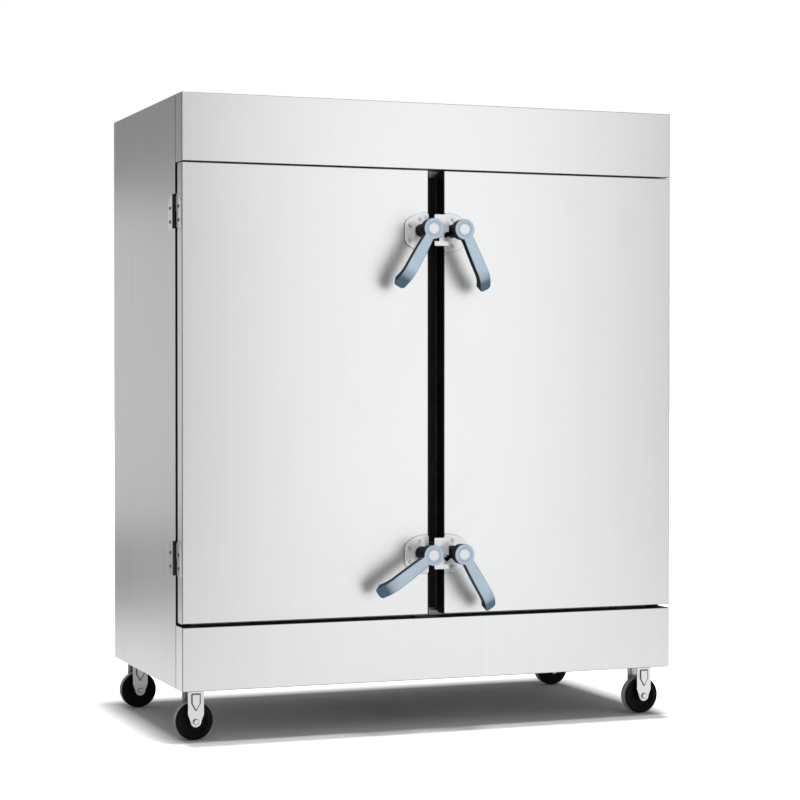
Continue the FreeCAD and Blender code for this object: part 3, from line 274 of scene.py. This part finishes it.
def steel_sheet(name, shade, rough, grain, streaks, marks, seam_shade=0.0):
    """Stainless sheet brushed upright: fine lines, broader streaks, a few wiped marks, and painted shade on the
    folds.
    The last argument, at 1, paints the faces that look forwards black: painted shade for the dark seams between
    the doors and the side panels."""
    material, tree = start(name)
    place = tree.place()
    hair = tree.noise(place, (1500.0, 1500.0, 9.0), 2.0)
    line = tree.noise(place, (420.0, 420.0, 3.0), 3.0, 0.6)
    streak = tree.noise(tree.moved(place, (3.1, 0.7, 0.0)), (70.0, 70.0, 0.9), 3.0, 0.6)
    cloud = tree.noise(place, 2.6, 2.0)
    wiped = tree.noise(place, (9.0, 9.0, 5.0), 4.0, 0.6).rise(0.56, 0.74)
    shine = 1.0 + grain * (line - 0.5) + streaks * (streak - 0.5) + 0.03 * (cloud - 0.5)
    fold = folds(tree)
    # Painted shade: the rounded folds are darkened
    shine = shine * (1.0 - 0.80 * fold)
    roughness = rough + 0.35 * fold + 0.08 * (line - 0.5) + 0.06 * (streak - 0.5) + marks * wiped
    height = hair * 0.5 + line
    # Painted shade: faces that look forwards turn black, so the seams beside the doors read dark
    seam_shade_mask = seam_shade * (-tree.axes(tree.facing())[1]).rise(0.5, 0.8)
    tree.surface(Base_Color=tree.mixed(seam_shade_mask, tree.tone(shade, shine), (0.004, 0.004, 0.004)),
                 Metallic=1.0 - seam_shade_mask, Roughness=roughness + 0.3 * seam_shade_mask,
                 Normal=tree.bump(height, 0.10, 0.0004))
    return material


def plain_steel(name, shade, rough):
    """Cold-rolled sheet inside the cabinet: soft clouds, rolling lines and dried water spots."""
    material, tree = start(name)
    place = tree.place()
    cloud = tree.noise(place, 7.0, 4.0, 0.6)
    rolled = tree.noise(place, (26.0, 26.0, 420.0), 2.0)
    spot = tree.cells(place, 46.0)
    dried = (1.0 - abs(spot - 0.30) * 14.0).clamped() * tree.noise(place, 11.0).rise(0.52, 0.66)
    shine = 0.97 + 0.10 * (cloud - 0.5) + 0.04 * (rolled - 0.5) - 0.05 * dried
    roughness = rough + 0.14 * (cloud - 0.5) + 0.05 * (rolled - 0.5) + 0.15 * dried
    tree.surface(Base_Color=tree.tone(shade, shine), Metallic=1.0, Roughness=roughness,
                 Normal=tree.bump(rolled, 0.06, 0.0003))
    return material


def frame_steel(name):
    """Square tube with mill lines, and straw and blue heat tint near its front and rear welds."""
    material, tree = start(name)
    place = tree.place()
    deep = tree.axes(place)[1]
    mill = tree.noise(place, (30.0, 30.0, 300.0), 3.0)
    cloud = tree.noise(place, 14.0, 3.0)
    front_weld = (1.0 - abs(deep - FRONT_WELD_Y) * WELD_TINT_FADE).clamped()
    rear_weld = (1.0 - abs(deep - REAR_WELD_Y) * WELD_TINT_FADE).clamped()
    heat = (front_weld.most(rear_weld) * (0.6 + 0.8 * (cloud - 0.5))).clamped()
    tint = tree.add("ShaderNodeValToRGB", {"stops": [
        (0.0, (0.56, 0.57, 0.58)), (0.35, (0.60, 0.52, 0.36)), (0.62, (0.44, 0.34, 0.30)),
        (1.0, (0.30, 0.34, 0.44))]}, {"Fac": heat})
    shine = 0.95 + 0.14 * (mill - 0.5)
    tree.surface(Base_Color=tree.tone(tint, shine), Metallic=0.95,
                 Roughness=0.36 + 0.16 * (cloud - 0.5) + 0.10 * (mill - 0.5),
                 Normal=tree.bump(mill, 0.08, 0.0004))
    return material


def chrome(name, shade, rough, edge_shade=0.0, shade_band=None):
    """Bright plate with hairline scratches, darkened by the fourth argument on the faces that don't look front or
    back: painted shade for the plate's shadow along its edges.
    A function given last gives 1 where painted shade turns the metal black."""
    material, tree = start(name)
    place = tree.place()
    scratch = tree.noise(place, (900.0, 900.0, 60.0), 3.0, 0.7).rise(0.55, 0.75)
    haze = tree.noise(place, 38.0, 3.0)
    # Painted shade: faces that turn away from front and back are darker
    cut = 1.0 - abs(tree.axes(tree.facing())[1]).rise(0.93, 0.998)
    colour = tree.tone(shade, 1.0 + 0.06 * (haze - 0.5) - edge_shade * cut)
    roughness = rough + 0.06 * scratch + 0.10 * (haze - 0.5)
    metal = 0.3
    if shade_band is not None:
        mask = shade_band(tree, place)
        # Painted shade: black where the band function gives 1
        colour = tree.mixed(mask, colour, (0.012, 0.012, 0.013))
        roughness = roughness + 0.25 * mask
        metal = metal - metal * mask
    tree.surface(Base_Color=colour, Metallic=metal, Roughness=roughness,
                 Normal=tree.bump(scratch, 0.02, 0.0002))
    return material


def black_rubber(name):
    """Moulded black rubber: fine grain, drawn lines and patches of dust."""
    material, tree = start(name)
    place = tree.place()
    grain = tree.noise(place, 900.0, 3.0, 0.6)
    drawn = tree.noise(place, (240.0, 240.0, 8.0), 2.0)
    patch = tree.noise(place, 16.0, 4.0).rise(0.45, 0.75)
    dust = patch * 0.02 + 0.15 * (drawn - 0.5).clamped()
    colour = tree.mixed(dust, (0.006, 0.006, 0.006), (0.30, 0.29, 0.27))
    tree.surface(Base_Color=colour, Roughness=0.52 + 0.20 * (grain - 0.5) + 0.16 * patch,
                 Specular_IOR_Level=0.28, Normal=tree.bump(grain + drawn, 0.12, 0.0003))
    return material


def mineral_wool(name):
    """Yellow wool: crossed fibres and darker tufts."""
    material, tree = start(name)
    place = tree.place()
    one_way = tree.noise(place, (60.0, 900.0, 900.0), 4.0, 0.7)
    other_way = tree.noise(place, (900.0, 80.0, 700.0), 4.0, 0.7)
    tuft = tree.noise(place, 40.0, 3.0)
    fibre = one_way.most(other_way)
    colour = tree.mixed(fibre.rise(0.4, 0.75), (0.42, 0.33, 0.14), (0.86, 0.76, 0.44))
    colour = tree.tone(colour, 0.85 + 0.5 * (tuft - 0.3))
    tree.surface(Base_Color=colour, Roughness=0.95, Normal=tree.bump(fibre + tuft, 0.8, 0.002))
    return material


def lever_paint(name):
    """Satin blue-grey enamel, light on the lever's front, with painted shade on its dark sides, and worn, lighter
    edges.
    """
    material, tree = start(name)
    place = tree.place()
    turned = -tree.axes(tree.facing())[1]
    bent = turned.rise(0.25, 0.55)
    front = turned.rise(0.74, 0.985)
    edge = turned.rise(0.35, 0.6) * (1.0 - turned.rise(0.70, 0.90))
    peel = tree.noise(place, 520.0, 2.0)
    cloud = tree.noise(place, 34.0, 3.0)
    tread_wear_and_highlight = tree.noise(place, 120.0, 4.0, 0.65)
    bright = tree.tone((0.50, 0.61, 0.71), 1.0 + 0.20 * (cloud - 0.5) + 0.06 * (peel - 0.5))
    # Painted shade: the lever's sides, turned away from the front, are dark, and only its front is light
    colour = tree.mixed(bent, (0.0015, 0.004, 0.006), (0.105, 0.19, 0.26))
    colour = tree.mixed(front, colour, bright)
    rub = edge * tread_wear_and_highlight.rise(0.58, 0.74) * 0.12
    colour = tree.mixed(rub, colour, (0.50, 0.58, 0.66))
    tree.surface(Base_Color=colour, Metallic=0.20 * front, Specular_IOR_Level=0.05,
                 Roughness=0.34 + 0.10 * (cloud - 0.5) + 0.12 * rub,
                 Normal=tree.bump(peel, 0.10, 0.0002))
    return material


def black_hub(name):
    """Satin black casting with a faint orange-peel skin and rubbed rims."""
    material, tree = start(name)
    place = tree.place()
    peel = tree.noise(place, 620.0, 2.0)
    rub = tree.noise(place, 90.0, 4.0, 0.7).rise(0.60, 0.78)
    colour = tree.mixed(rub * 0.12, (0.001, 0.0015, 0.002), (0.06, 0.07, 0.08))
    tree.surface(Base_Color=colour, Roughness=0.42 + 0.14 * (peel - 0.5) + 0.12 * rub,
                 Specular_IOR_Level=0.03, Normal=tree.bump(peel, 0.12, 0.0002))
    return material


def brass(name):
    """Cast and turned brass, dulled in patches."""
    material, tree = start(name)
    place = tree.place()
    cast = tree.noise(place, 260.0, 3.0)
    dull = tree.noise(place, 30.0, 4.0, 0.6).rise(0.42, 0.72)
    colour = tree.mixed(dull, (0.76, 0.58, 0.27), (0.40, 0.28, 0.13))
    tree.surface(Base_Color=colour, Metallic=1.0, Roughness=0.24 + 0.28 * dull + 0.10 * (cast - 0.5),
                 Normal=tree.bump(cast, 0.15, 0.0004))
    return material


def heated_steel(name):
    """A heater tube: brown and blue heat colours along it, with pale scale."""
    material, tree = start(name)
    place = tree.place()
    along = tree.noise(place, (12.0, 5.0, 12.0), 3.0)
    scale = tree.noise(place, 160.0, 4.0, 0.7).rise(0.52, 0.70)
    tint = tree.add("ShaderNodeValToRGB", {"stops": [
        (0.25, (0.42, 0.40, 0.38)), (0.45, (0.36, 0.27, 0.20)), (0.60, (0.22, 0.20, 0.27)),
        (0.78, (0.38, 0.37, 0.37))]}, {"Fac": along})
    colour = tree.mixed(scale * 0.6, tint, (0.62, 0.59, 0.53))
    tree.surface(Base_Color=colour, Metallic=1.0 - 0.7 * scale, Roughness=0.35 + 0.45 * scale,
                 Normal=tree.bump(scale, 0.3, 0.0005))
    return material


def black_plastic(name):
    """Moulded black plastic with a spark-eroded texture."""
    material, tree = start(name)
    place = tree.place()
    texture = tree.noise(place, 1400.0, 2.0)
    haze = tree.noise(place, 25.0, 3.0)
    tree.surface(Base_Color=tree.tone((0.022, 0.022, 0.023), 1.0 + 0.6 * (haze - 0.5)),
                 Roughness=0.46 + 0.16 * (texture - 0.5) + 0.12 * (haze - 0.5),
                 Normal=tree.bump(texture, 0.2, 0.0002))
    return material


def zinc_fork(name):
    """Bright zinc on stamped steel, with painted shade round the raised shields and on the cut edges."""
    material, tree = start(name)
    place = tree.place()
    across, _, height = tree.axes(place)
    off_axis = abs(abs(across) - CASTER_X)
    flat = abs(tree.axes(tree.facing())[1]).rise(0.55, 0.95)
    # The outline of each raised shield, where painted shade goes
    shield_side = SHIELD_HALF_WIDTH * ((height - SHIELD_FOOT) / SHIELD_TAPER).least(1.0)
    above_foot = height.rise(SHIELD_FOOT - SHIELD_FADE, SHIELD_FOOT)
    below_top = 1.0 - height.rise(SHIELD_TOP, SHIELD_TOP + SHIELD_FADE)
    on_side = (1.0 - abs(off_axis - shield_side).rise(*SHIELD_LINE)) * above_foot * below_top
    on_top = 1.0 - abs(height - SHIELD_TOP).rise(*SHIELD_LINE)
    on_top = on_top * (1.0 - off_axis.rise(*SHIELD_TOP_ENDS))
    shield_outline_shade = on_side.most(on_top)
    cloud = tree.noise(place, 90.0, 3.0)
    scuff = tree.noise(place, 240.0, 4.0, 0.6).rise(0.50, 0.80)
    shine = 1.0 + 0.14 * (cloud - 0.5) - 0.06 * scuff
    # Painted shade: dark cut edges, where faces don't look front or back, and a dark line round each shield
    colour = tree.tone((0.90, 0.91, 0.92), shine * (0.10 + 0.90 * flat) * (1.0 - 0.86 * shield_outline_shade))
    tree.surface(Base_Color=colour, Metallic=0.6,
                 Roughness=0.30 + 0.12 * (cloud - 0.5) + 0.06 * scuff,
                 Normal=tree.bump(cloud, 0.04, 0.0003))
    return material


def wheel_finish(name, centre):
    """A black tyre with a greyer tread, grey partly from wear and partly as a painted highlight, and a core with
    turned rings round its hub.
    """
    material, tree = start(name)
    place = tree.place()
    across, deep, height = tree.axes(place)
    side_ways = across - centre.x
    up_wards = height - centre.z
    radius = (side_ways * side_ways + up_wards * up_wards) ** 0.5
    off_middle = abs(deep - centre.y)
    tread = radius.rise(*TREAD_RADII) * (1.0 - off_middle.rise(*TREAD_SIDES))
    grain = tree.noise(place, 700.0, 3.0, 0.6)
    dust = tree.noise(place, 60.0, 4.0, 0.6).rise(0.40, 0.75)
    rings = (radius * RINGS_PER_METRE).wave() * (1.0 - radius.rise(*CORE_RIM))
    # The tread is grey, partly from wear and partly as a painted highlight
    tread_wear_and_highlight = tread * (0.75 + 0.25 * dust)
    colour = tree.mixed(tread_wear_and_highlight, (0.003, 0.003, 0.003), (0.58, 0.575, 0.57))
    colour = tree.mixed(dust * 0.008, colour, (0.34, 0.32, 0.29))
    tree.surface(Base_Color=colour, Specular_IOR_Level=0.10,
                 Roughness=0.36 + 0.22 * (grain - 0.5) + 0.16 * dust + 0.2 * tread,
                 Normal=tree.bump(grain * 0.5 + rings * 0.8, 0.25, 0.0005))
    return material


def fascia_finish(name, shade, rough, top):
    """The lower fascia: brushed like the doors, with painted shade on its folds, and a black strip of painted
    shade on its top return under the doors.
    """
    material, tree = start(name)
    place = tree.place()
    upward = tree.axes(tree.facing())[2].rise(0.5, 0.8)
    high = tree.axes(place)[2].rise(top - GAP_SHADE_DEPTHS[0], top - GAP_SHADE_DEPTHS[1])
    # Painted shade: the top return under the doors is black
    gap_shade = upward * high
    line = tree.noise(place, (420.0, 420.0, 3.0), 3.0, 0.6)
    streak = tree.noise(place, (70.0, 70.0, 0.9), 3.0, 0.6)
    shine = 1.0 + 0.07 * (line - 0.5) + 0.05 * (streak - 0.5)
    fold = folds(tree)
    # Painted shade: the rounded folds are darkened
    shine = shine * (1.0 - 0.80 * fold)
    colour = tree.mixed(gap_shade, tree.tone(shade, shine), (0.010, 0.010, 0.010))
    tree.surface(Base_Color=colour, Metallic=1.0 - gap_shade,
                 Roughness=rough + 0.08 * (line - 0.5) + 0.25 * gap_shade + 0.35 * fold,
                 Normal=tree.bump(line, 0.10, 0.0004))
    return material


def white_enamel(name):
    """The bare white disc in the cap of a lever's head."""
    material, tree = start(name)
    place = tree.place()
    haze = tree.noise(place, 160.0, 3.0)
    speck = (1.0 - tree.cells(place, 900.0) * 5.0).clamped()
    tree.surface(Base_Color=tree.tone((0.90, 0.91, 0.92), 1.0 + 0.08 * (haze - 0.5) - 0.20 * speck),
                 Roughness=0.28 + 0.12 * (haze - 0.5), Normal=tree.bump(haze, 0.05, 0.0002))
    return material


def hinge_gap(tree, place):
    """1 on the knuckles of a hinge between its two leaves, for painted shade there, and on its screw heads, which
    are made black too.
    """
    across, deep, _ = tree.axes(place)
    pin_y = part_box("left_door_hinge_leaves")[1].y - KNUCKLE_RADIUS
    knuckle = 1.0 - abs(deep - pin_y).rise(*SHADE_BAND_SIDES)
    return knuckle.most(abs(across).rise(*SCREW_HEADS_X))


SHEET_SHADE = (0.78, 0.785, 0.79)
finishes = {
    "brushed_sheet": steel_sheet("brushed sheet", SHEET_SHADE, rough=0.34, grain=0.07, streaks=0.045,
                                 marks=0.04),
    "side_sheet": steel_sheet("side sheet", (0.76, 0.765, 0.77), rough=0.36, grain=0.16, streaks=0.12,
                              marks=0.05, seam_shade=1.0),
    "inner_sheet": plain_steel("inner sheet", (0.72, 0.73, 0.74), rough=0.34),
    "frame_steel": frame_steel("frame steel"),
    "chrome": chrome("chrome", (0.90, 0.905, 0.91), rough=0.24, edge_shade=0.88),
    "black_rubber": black_rubber("black rubber"),
    "mineral_wool": mineral_wool("mineral wool"),
    "lever_paint": lever_paint("lever paint"),
    "black_hub": black_hub("black hub"),
    "brass": brass("brass"),
    "element_steel": heated_steel("element steel"),
    "black_plastic": black_plastic("black plastic"),
    "fork_steel": zinc_fork("fork steel"),
}


def paint(obj, material):
    """Gives an object one material."""
    obj.data.materials.clear()
    obj.data.materials.append(material)


for subpart in frame["record"]["subparts"]:
    name, slot = subpart["node"], subpart["material_slot"]
    if slot == "wheel_rubber":
        low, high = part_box(name)
        paint(nodes[name], wheel_finish("wheel " + name, (low + high) / 2))
    else:
        paint(nodes[name], finishes[slot])

fascia_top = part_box("bottom_fascia")[1].z
paint(nodes["bottom_fascia"], fascia_finish("lower fascia", SHEET_SHADE, rough=0.34, top=fascia_top))
hinge_chrome = chrome("hinge chrome", (0.97, 0.975, 0.98), rough=0.16, shade_band=hinge_gap)
for name in ("hinge_frame_leaves", "left_door_hinge_leaves", "right_door_hinge_leaves"):
    paint(nodes[name], hinge_chrome)


# Pieces that are added to the frame

def turned_piece(name, profile, segments=64):
    """A piece turned about its own y axis from (radius, y) points."""
    mesh = bpy.data.meshes.new(name)
    shape = bmesh.new()
    rings = []
    for radius, depth in profile:
        if radius == 0:
            rings.append([shape.verts.new((0, depth, 0))])
            continue
        ring = []
        for step in range(segments):
            angle = 2 * math.pi * step / segments
            ring.append(shape.verts.new((radius * math.cos(angle), depth, radius * math.sin(angle))))
        rings.append(ring)
    for first, second in zip(rings, rings[1:]):
        for step in range(segments):
            after = (step + 1) % segments
            corners = [first[step % len(first)], second[step % len(second)],
                       second[after % len(second)], first[after % len(first)]]
            unique = []
            for corner in corners:
                if corner not in unique:
                    unique.append(corner)
            shape.faces.new(unique)
    bmesh.ops.recalc_face_normals(shape, faces=shape.faces)
    for face in shape.faces:
        face.smooth = True
    shape.to_mesh(mesh)
    shape.free()
    piece = bpy.data.objects.new(name, mesh)
    bpy.context.scene.collection.objects.link(piece)
    return piece


enamel = white_enamel("white enamel")
for handle in HANDLES:
    spindle = [joint for joint in frame["joints"] if joint["child"] == handle + "_handle"][0]["pos_m"]
    head_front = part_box(handle + "_lever")[0].y
    badge = turned_piece(handle + "_badge", [
        (0, -BADGE_DOME), (BADGE_RADIUS * 0.5, -BADGE_DOME * 0.8),
        (BADGE_RADIUS * 0.93, -BADGE_DOME * 0.2), (BADGE_RADIUS, 0.0), (BADGE_RADIUS, BADGE_EDGE),
        (0, BADGE_EDGE)])
    badge.location = (spindle[0], head_front + BADGE_SEAT_DEPTH - BADGE_EDGE, spindle[2])
    paint(badge, enamel)
    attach(badge, handle + "_handle")


# Floor, world, lamps and camera

def floor_finish():
    """White to the eye and in reflections, with the object's cast shadow darkened further by a painted shadow
    under it, and grey as a source of light.
    """
    material, tree = start("floor")
    sight, mirrored = tree.rays()
    across, deep, _ = tree.axes(tree.place())
    beside = (abs(across) - SHADOW_HALF_WIDTH).most(0.0)
    before = (abs(deep - SHADOW_MIDDLE_Y) - SHADOW_HALF_DEPTH).most(0.0)
    away = (beside * beside + before * before) ** 0.5
    far = away.rise(0.0, SHADOW_END)
    # Painted shadow: the floor is darker under the object's footprint, more so to the right
    painted_shadow = (1.0 - away.rise(0.0, SHADOW_REACH)) * (0.34 + 0.12 * across.rise(0.0, 0.6))
    ahead = (across * 0.5 - deep).rise(-0.4, 1.2)
    unseen = tree.mixed(ahead, (0.38, 0.38, 0.38), (0.80, 0.80, 0.80))
    colour = tree.mixed(sight, unseen, FLOOR_WHITE)
    colour = tree.mixed(mirrored, colour, tree.tone(FLOOR_WHITE, 1.0 - far))
    plain = tree.add("ShaderNodeBsdfDiffuse", None, {"Color": tree.tone(colour, 1.0 - painted_shadow)})
    glow = tree.add("ShaderNodeEmission", None,
                    {"Color": PURE_WHITE, "Strength": far * sight.most(mirrored)})
    both = tree.add("ShaderNodeAddShader", None, {0: plain, 1: glow})
    tree.add("ShaderNodeOutputMaterial", None, {"Surface": both})
    return material


floor_corners = [(FLOOR_REACH * x, FLOOR_REACH * y, 0) for x, y in ((-1, -1), (1, -1), (1, 1), (-1, 1))]
floor_mesh = bpy.data.meshes.new("floor")
floor_mesh.from_pydata(floor_corners, [], [(0, 1, 2, 3)])
floor = bpy.data.objects.new("floor", floor_mesh)
floor.location.z = -FLOOR_DROP
bpy.context.scene.collection.objects.link(floor)
paint(floor, floor_finish())


def grey_wall(name, centre_x, first, last):
    """A curved grey wall that only reflections show, from angle first to angle last, in degrees."""
    points = []
    for step in range(WALL_STEPS + 1):
        turn = math.radians(first + (last - first) * step / WALL_STEPS)
        x = centre_x + WALL_RADIUS * math.cos(turn)
        y = WALL_RADIUS * math.sin(turn)
        points += [(x, y, 0.0), (x, y, WALL_HEIGHT)]
    faces = [(2 * step, 2 * step + 2, 2 * step + 3, 2 * step + 1) for step in range(WALL_STEPS)]
    mesh = bpy.data.meshes.new(name)
    mesh.from_pydata(points, [], faces)
    wall = bpy.data.objects.new(name, mesh)
    bpy.context.scene.collection.objects.link(wall)
    wall.visible_camera = False
    wall.visible_diffuse = False
    wall.visible_shadow = False
    material, tree = start(name)
    glow = tree.add("ShaderNodeEmission", None, {"Color": PURE_WHITE, "Strength": WALL_LEVEL})
    tree.add("ShaderNodeOutputMaterial", None, {"Surface": glow})
    paint(wall, material)


grey_wall("left_wall", centre_x=-0.7, first=85.0, last=281.0)
grey_wall("right_wall", centre_x=0.7, first=-62.0, last=60.0)

# The light on the object is stronger from the front and from above. What is seen is plain white
world = bpy.data.worlds.new("studio")
bpy.context.scene.world = world
sky = Tree(world)
east, north, up = sky.axes(sky.add("ShaderNodeTexCoord").output("Generated"))
to_front = (east * 0.45 - north * 0.89).rise(-0.7, 1.0)
level = 0.28 + 0.24 * to_front + 0.10 * up.rise(0.0, 0.8)
sight, mirrored = sky.rays()
shown = sky.add("ShaderNodeBackground", None, {"Color": PURE_WHITE, "Strength": 1.0})
lit = sky.add("ShaderNodeBackground", None, {"Color": (0.99, 0.995, 1.0, 1.0), "Strength": level})
blend = sky.add("ShaderNodeMixShader", None, {0: sight.most(mirrored), 1: lit, 2: shown})
sky.add("ShaderNodeOutputWorld", None, {"Surface": blend})


def softbox(name, place, target, width, height, radiance):
    """A white area lamp that faces a point, given by how bright its face is."""
    data = bpy.data.lights.new(name, "AREA")
    data.shape = "RECTANGLE"
    data.size = width
    data.size_y = height
    data.energy = radiance * math.pi * width * height
    lamp = bpy.data.objects.new(name, data)
    bpy.context.scene.collection.objects.link(lamp)
    lamp.location = place
    lamp.rotation_mode = "QUATERNION"
    lamp.rotation_quaternion = (Vector(target) - Vector(place)).to_track_quat("-Z", "Y")
    lamp.visible_camera = False


softbox("front wash", place=(0.85, -2.6, 1.0), target=(0.01, -0.35, 1.0), width=1.16, height=2.7,
        radiance=0.27)
softbox("side wash", place=(-1.55, 2.1, 0.98), target=(-0.69, 0.0, 0.98), width=1.8, height=1.25,
        radiance=0.40)
softbox("top light", place=(0.3, -1.6, 5.7), target=(0.0, 0.0, 0.0), width=1.0, height=1.0,
        radiance=62.0)

camera_data = bpy.data.cameras.new("camera")
camera = bpy.data.objects.new("camera", camera_data)
bpy.context.scene.collection.objects.link(camera)
bpy.context.scene.camera = camera
camera_data.sensor_width = SENSOR_WIDTH_MM
camera_data.lens = FOCAL_LENGTH_PIXELS * SENSOR_WIDTH_MM / FRAME_WIDTH_PIXELS
camera_data.clip_start = 0.05
camera_data.clip_end = 200.0
yaw = math.radians(CAMERA_YAW)
pitch = math.radians(CAMERA_PITCH)
forward = Vector((math.sin(yaw) * math.cos(pitch), math.cos(yaw) * math.cos(pitch), -math.sin(pitch)))
right = Vector((math.cos(yaw), -math.sin(yaw), 0.0))
upward = right.cross(forward)
turn = Matrix((right, upward, -forward)).transposed().to_4x4()
camera.matrix_world = Matrix.Translation(CAMERA_PLACE) @ turn

bpy.context.scene.view_settings.view_transform = "Standard"
